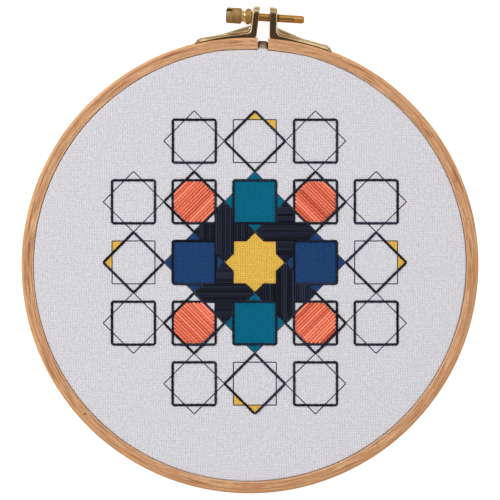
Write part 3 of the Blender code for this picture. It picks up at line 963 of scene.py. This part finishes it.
# %% A skin where the field is nought
def skin_of(field, corner, step):
    """Surface nets: a cell's point is the mean of the crossings on its edges, and each grid edge
    that crosses the surface gets the face between the four cells around it. The field has to be
    positive all round the grid."""
    cells = np.array(field.shape) - 1
    total = np.zeros((*cells, 3))
    count = np.zeros(cells)
    grid = np.stack(np.indices(field.shape), -1)
    unit = np.eye(3, dtype=int)
    crossings = []
    for axis in range(3):
        ahead = np.roll(field, -1, axis)
        crosses = (field < 0) != (ahead < 0)
        share = np.where(crosses, field / np.where(crosses, field - ahead, 1), 0)
        place = grid + share[..., None] * unit[axis]
        crossings.append(np.argwhere(crosses))
        for offset in np.ndindex(2, 2, 2):
            if not offset[axis]:
                pick = tuple(slice(o, o + n) for o, n in zip(offset, cells))
                total += place[pick] * crosses[pick][..., None]
                count += crosses[pick]
    used = count > 0
    number = np.cumsum(used).reshape(used.shape) - 1
    faces = []
    for axis, index in enumerate(crossings):
        b, c = unit[(axis + 1) % 3], unit[(axis + 2) % 3]
        quad = np.stack([number[tuple((index - back).T)] for back in (b * 0, b, b + c, c)], -1)
        solid_first = field[tuple(index.T)] < 0
        faces.append(np.where(solid_first[:, None], quad, quad[:, ::-1]))
    return corner + step * total[used] / count[used][:, None], np.concatenate(faces)


def settle(points, field, reach=0.02):
    """Twice moves each point against the field's slope, by the field over the slope's length."""
    for _ in range(2):
        value = field(*points.T)
        ahead = np.stack([field(*(points + step).T) for step in np.eye(3) * reach], -1)
        slope = (ahead - value[:, None]) / reach
        steepness = np.maximum((slope**2).sum(-1, keepdims=True), 0.3)
        points = points - slope * (value[:, None] / steepness)
    return points


def space(low_corner, high_corner, step):
    """Coordinates of a grid of points that fills a box."""
    axes = [np.arange(a, b + step, step) for a, b in zip(low_corner, high_corner)]
    return np.meshgrid(*axes, indexing="ij")


# %% [markdown]
# ## Brass
#
# The brackets are cartridge brass, stamped, tumbled and lacquered. Sheet faces keep a satin
# gloss. The sheared edges, which face the front, are rougher. Every face that looks to the
# front or the back is painted dark brown as shade, for the dark room that it reflects. The head
# was turned from a rod and the shank's thread was rolled, which left it darker and more coppery.
# Painted shade darkens the slot, the foot along the wood, the end of the head and the shank by
# the ear, where the metal is also rougher. The waist of the head and the end of its collar are
# polished smoother and painted brighter, a painted highlight. Each point carries an amount of
# painted shade and of polish, from 0 to 1, because both depend on the shape and not on a pattern.


# %% Brass for the brackets and the screw
# Colour of a painted highlight on polished brass.
GLINT_BRASS = "ecc98c"


def brass_finish(name, bright, dull, edge, mottle, shade_colour, roughness, patch_scale):
    """Patches of two tones, dark brown painted as shade where a face looks to the front or back,
    then the points' painted shade and painted highlight.
    """
    finish, shader, add = start_finish(name, {"Metallic": 1.0})
    place = add("TexCoord", out=3)
    scaled = add("Mapping", {0: place, 3: patch_scale})
    patches = add("TexNoise", (scaled, 1.0, 3.0))
    patch = add(SMOOTH, (patches, 0.35, 0.65, 0.0, 1.0))
    normal = add("TexCoord", out=1)
    facing = add("SeparateXYZ", (normal,), out=2)
    facing = add("Math ABSOLUTE", (facing,))
    # Faces that look straight to the front or back are the rougher sheared edges. Their dark brown
    # is painted shade for the dark room they reflect.
    front_shade_and_rough = add(SMOOTH, (facing, 0.86, 0.985, 0.0, edge))
    fine = add("TexNoise", (place, 2100.0, 3.0))
    mottling = add(SMOOTH, (fine, 0.34, 0.72, 0.0, 1.0))
    brown = add(BLEND, (mottling, shade_colour, mottle))
    # Each point carries painted shade, which also makes the metal rougher, and a painted highlight
    # on smoother polished metal.
    soil, fresh = (add("Attribute", out=2, attribute_name=key) for key in ("soil", "fresh"))
    colour = dull
    for share, over in ((patch, bright), (front_shade_and_rough, brown), (soil, shade_colour), (fresh, GLINT_BRASS)):
        colour = add(BLEND, (share, colour, over))

    rough = add(SMOOTH, (patches, 0.3, 0.7, roughness + 0.06, roughness - 0.04))
    rough = add(TIMES_PLUS, (fresh, 0.15 - roughness, rough))
    rougher = add("Math MAXIMUM", (front_shade_and_rough, soil))
    rough = add(TIMES_PLUS, (rougher, 0.2, rough))
    relief = add("Bump", {"Height": fine, "Distance": 0.01 * MM, "Strength": 0.4})
    fill(shader, {"Base Color": colour, "Roughness": rough, "Normal": relief})
    return finish


STAMPED = "eed2a6", "d0ae7a", 1.0, "8a7352", "3a2d23", 0.22, (200, 200, 200)
TURNED = "c8a470", "b6915c", 0.0, "8a6a44", "140c06", 0.66, (900, 420, 420)
ROLLED = "d29c56", "c08a48", 0.0, "8a5a30", "3a2010", 0.22, (60, 900, 900)
stamped_brass = brass_finish("stamped_brass", *STAMPED)
turned_brass = brass_finish("turned_brass", *TURNED)
rolled_brass = brass_finish("rolled_brass", *ROLLED)

# %% [markdown]
# ## The brackets
#
# Each bracket is one strip: an ear that stands up with a round top, a corner, and a foot that
# follows the ring to a small bead at its end. A rib pressed into the corner stiffens it. The
# screw pulls the tops of the ears together, so they lean a little. The two differ slightly, as
# hand-fitted pairs do, so each has its own few numbers.


# %% The field of a bracket
EAR_TOP = 119.7
HALF_DEPTH = 4.3
ARC_Y = EAR_TOP - HALF_DEPTH
FOOT_UNDER_R = RING_R - FOOT_PRESS
BEND_Y = 106.2
RIDGE_X = 5.9
RIDGE_SLOPE = 0.358
SCREW_HEIGHT = 114.75
HOLE_R = 2.15
BEAD_PLACE = 1.9, 1.15, 3.7  # back from the foot's end, above the wood, off the middle
BEAD_R = 1.0


def bracket_field(shape, x, y, z):
    """Ear joined to foot with a fillet, then cut to its depth, with a bevel that starts on the
    foot, and to a slanted end. Rib and bead join it; the inner corner and the hole come off."""
    ear, lean, fillet, foot_top, rise, ridge_top, bevel = shape
    depth = np.abs(z - BRACKET_MID_Z)
    r = np.hypot(x, y)
    above = r - FOOT_UNDER_R
    ear_x = x + lean * (y - BEND_Y) / 12.3
    foot = r - foot_top - rise * ramp((x - 8) / 8) - 0.25 * ramp((x - 25) / 4)
    profile = smooth_min(ear_x - ear[1], foot, fillet)
    edge = 0.45 + 0.9 * ramp((bevel[1] - x) / (bevel[1] - bevel[0]))
    cut = 0.6 * np.maximum(above - edge, 0) * ramp((x - bevel[0]) / 2)
    front = np.where(y > ARC_Y, np.hypot(y - ARC_Y, depth), depth) + cut - HALF_DEPTH
    slanted_end = 0.78 * (x - FOOT_END_X + 0.8 * (above - 0.4))
    strip = smooth_max(smooth_max(profile, front, 1.2), slanted_end, 1.0)
    ridge_y = ridge_top - RIDGE_SLOPE * (x - RIDGE_X)
    below = ramp((ridge_y - y) / 3.5)
    rib = smooth_max((y - ridge_y) * 0.94, depth - 0.9 - 1.2 * below**1.5, 0.8)
    rib = smooth_max(rib, x - FOOT_END_X + 6, 1.0)
    back, up, off = BEAD_PLACE
    bead = np.sqrt((x - FOOT_END_X + back) ** 2 + (above - up) ** 2 + (depth - off) ** 2) - BEAD_R
    body = smooth_min(smooth_min(strip, rib, 0.7), bead, 0.2)
    inner_corner = smooth_max(ear[0] - ear_x, -above, 1.4)
    hole = HOLE_R - np.hypot(y - SCREW_HEIGHT, z - BRACKET_MID_Z)
    return smooth_max(smooth_max(body, inner_corner, 0.25), hole, 0.3)


# %% Both brackets
BRACKET_STEP = 0.17
SHAPES = {  # mirror, ear's two sides, lean, fillet, foot's top and rise, ridge's top, bevel
    "right": (1, (2.5, 6.1), 0.58, 2.5, 107.0, 0.5, 110.4, (8.0, 16.0)),
    "left": (-1, (3.4, 6.65), 0.72, 2.2, 107.2, 0.05, 110.8, (10.0, 27.0)),
}
# Painted shade on the foot's lower edge along the wood, where the metal is also rougher.
FOOT_SHADE = 0.85
corner = np.array([1.0, 99.0, -0.3])
grid = space(corner, (33.5, 120.5, 9.8), BRACKET_STEP)
for side, (mirror, *shape) in SHAPES.items():
    field = partial(bracket_field, shape)
    points, faces = skin_of(field(*grid), corner, BRACKET_STEP)
    points = settle(points, field)
    x, y, z = points.T
    above_wood = np.hypot(x, y) - FOOT_UNDER_R
    soil = FOOT_SHADE * ramp(1.25 - above_wood / 0.4) * ramp(FOOT_END_X - 2 - x)
    name, points, faces = f"brass_bracket_{side}", points * (mirror, 1, 1), [faces[:, ::mirror]]
    bracket = make_piece(name, points, faces, stamped_brass, "brass", soil=soil)
    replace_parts(bracket, f"bracket_{side}")

# %% [markdown]
# ## The screw
#
# The head is a barrel with a slot across its end, a waist and a collar that bears on the ear.
# The shank's fine thread is worn nearly smooth but for its last 4 mm. The whole screw turns in
# the brackets, so it rides on its own body.

# %% The head
HEAD_PROFILE = np.array([
    (-18.15, 3.55), (-17.8, 3.66), (-11.35, 3.66), (-11.1, 3.45), (-10.85, 2.98), (-10.45, 2.72),
    (-9.75, 2.62), (-9.25, 2.78), (-8.85, 3.25), (-8.6, 3.58), (-8.25, 3.72), (-7.1, 3.72),
    (-6.65, 3.45), (-6.3, 3.0), (-6.12, 2.6),
])
SLOT_TURN = radians(37.5)
SLOT_HALF_WIDTH = 0.46
SLOT_LENGTH = 2.85
HEAD_STEP = 0.13
head_end, collar_end = HEAD_PROFILE[[0, -1], 0]


def off_slot(y, z):
    """Distance from the middle plane of the slot."""
    return np.abs(y * cos(SLOT_TURN) - z * sin(SLOT_TURN))


def head_field(x, y, z):
    """A turned profile with rounded ends, less the slot across its end."""
    body = (np.hypot(y, z) - np.interp(x, *HEAD_PROFILE.T)) * 0.85
    body = smooth_max(body, head_end - x, 1.0)
    body = smooth_max(body, x - collar_end, 0.3)
    slot = np.minimum(SLOT_HALF_WIDTH - off_slot(y, z), head_end + SLOT_LENGTH - x)
    return smooth_max(body, slot, 0.1)


corner = np.array([-18.6, -4.1, -4.1])
head = head_field(*space(corner, (-5.8, 4.1, 4.1), HEAD_STEP))
points, faces = skin_of(head, corner, HEAD_STEP)
points = settle(points, head_field)
x, y, z = points.T
# Painted shade in the slot and on the end of the head, where the metal is also rougher.
in_slot = (off_slot(y, z) < SLOT_HALF_WIDTH + 0.06) & (x < head_end + SLOT_LENGTH + 0.15)
below_skin = np.interp(x, *HEAD_PROFILE.T) - np.hypot(y, z)
end_shade_and_dull = 0.4 * ramp((head_end + 0.5 - x) / 0.3)
soil = np.maximum(in_slot * ramp(below_skin / 0.05), end_shade_and_dull)
# A painted highlight on the waist and the collar's end, whose polished metal is also smoother.
fresh = np.interp(x, [-11.1, -10.8, -9.2, -8.8, -7.2, -6.9], [0, 1, 1, 0, 0, 0.7])
points = points + (0, SCREW_HEIGHT, BRACKET_MID_Z)
dressed = turned_brass, "screw_brass", "screw"
screw_head = make_piece("brass_screw_head", points, [faces], *dressed, soil=soil, fresh=fresh)
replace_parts(screw_head, "screw")

# %% The threaded shank
THREAD_PITCH = 0.6
x = np.linspace(-6.3, 18.2, 350)[:, None]
turn = 2 * pi * np.arange(32) / 32
root = np.interp(x, [-6.3, 17.0, 17.8, 18.2], [1.85, 1.85, 1.6, 1.1])
thread_depth = np.interp(x, [13.0, 14.0], [0.015, 0.06])
r = root + thread_depth * np.sin(2 * pi * x / THREAD_PITCH - turn)
y, z = SCREW_HEIGHT + r * np.cos(turn), BRACKET_MID_Z + r * np.sin(turn)
points = np.stack(np.broadcast_arrays(x, y, z), -1)
# Painted shade on the shank where it passes through the ear, where the metal is also rougher.
soil = np.broadcast_to(np.interp(x, [1.4, 1.8, 6.2, 6.6], [0, 0.8, 0.8, 0]), r.shape)
dressed = rolled_brass, "screw_brass", "screw"
shank = make_piece("brass_screw_shank", points, tube_faces(*r.shape), *dressed, sharp=60, soil=soil)
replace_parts(shank, "screw")
